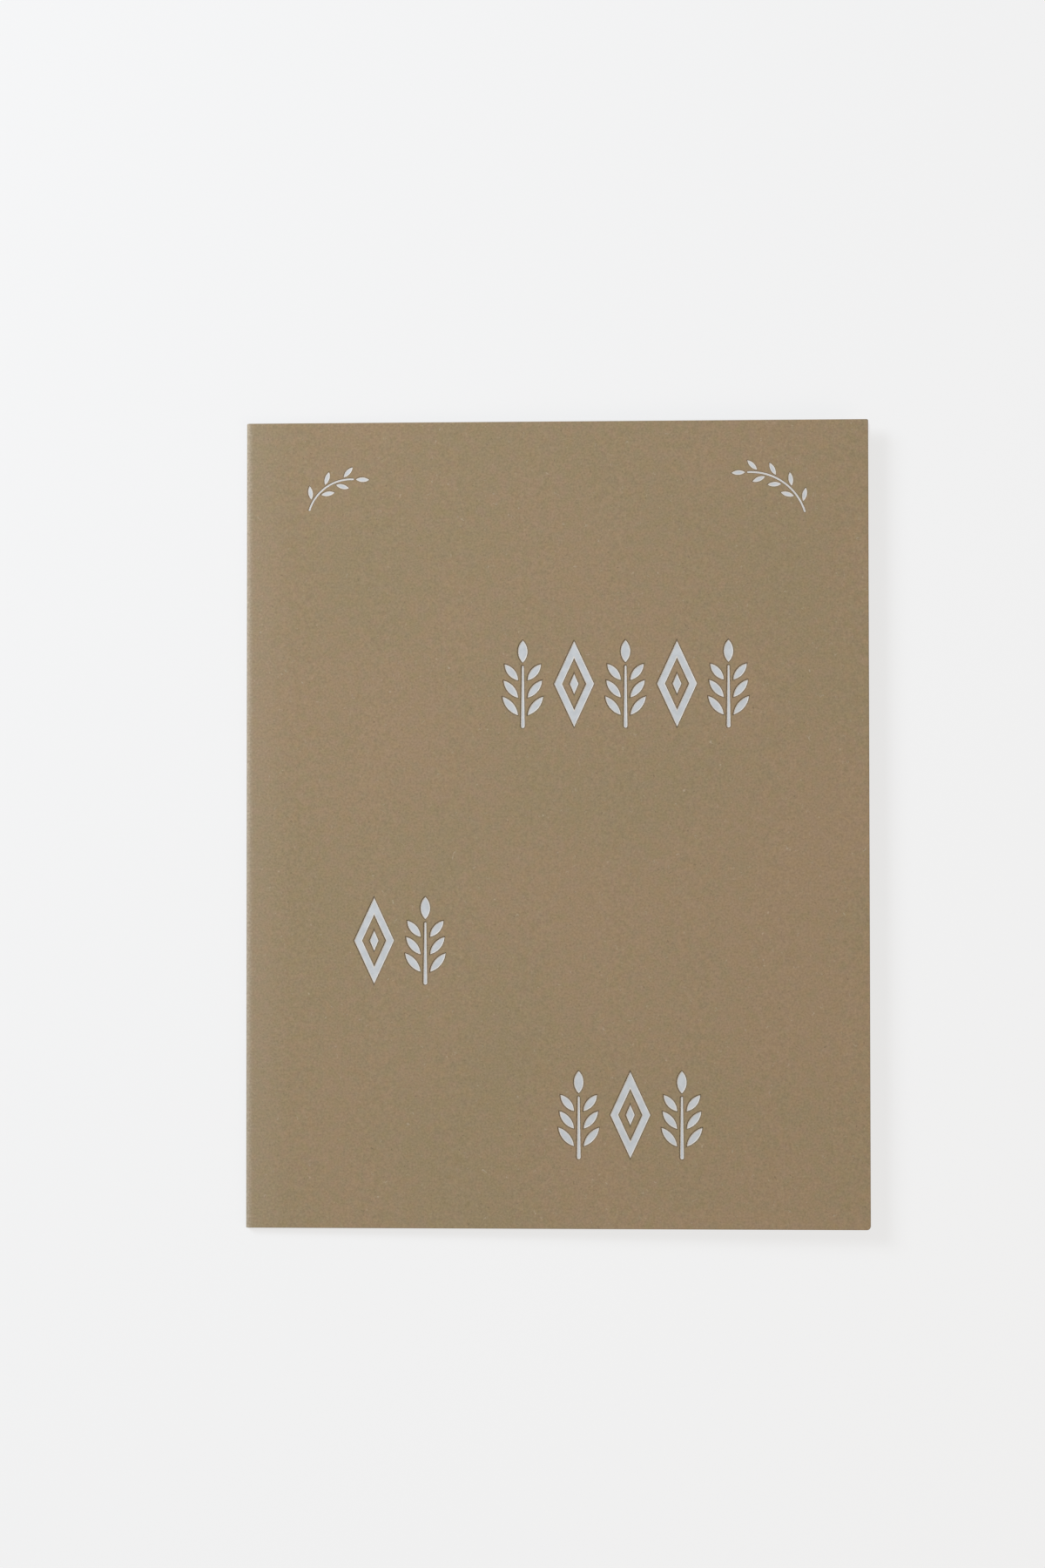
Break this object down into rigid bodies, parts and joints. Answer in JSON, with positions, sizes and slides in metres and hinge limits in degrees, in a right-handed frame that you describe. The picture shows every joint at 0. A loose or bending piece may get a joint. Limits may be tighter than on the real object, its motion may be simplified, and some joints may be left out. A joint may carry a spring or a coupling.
{
  "type": "greeting card",
  "caption": "Upright single-fold greeting card in thick tan card, lying on its back leaf, with white foil ornaments pressed into the cover.",
  "frame": {"origin": "centre of the card's bounding box, on the plane that the back leaf rests on", "axes": "+X from the fold to the free edge, +Y to the top of the cover, +Z out of the cover"},
  "size_m": [0.108, 0.1396, 0.0042],
  "materials": {
    "card_stock": "uncoated through-dyed card with a fine felt tooth and soft mottling",
    "white_foil": "satin white hot foil on the floors of the pressed ornaments"
  },
  "bodies": {
    "root": {"folded_card": "card_stock"}
  },
  "joints": []
}
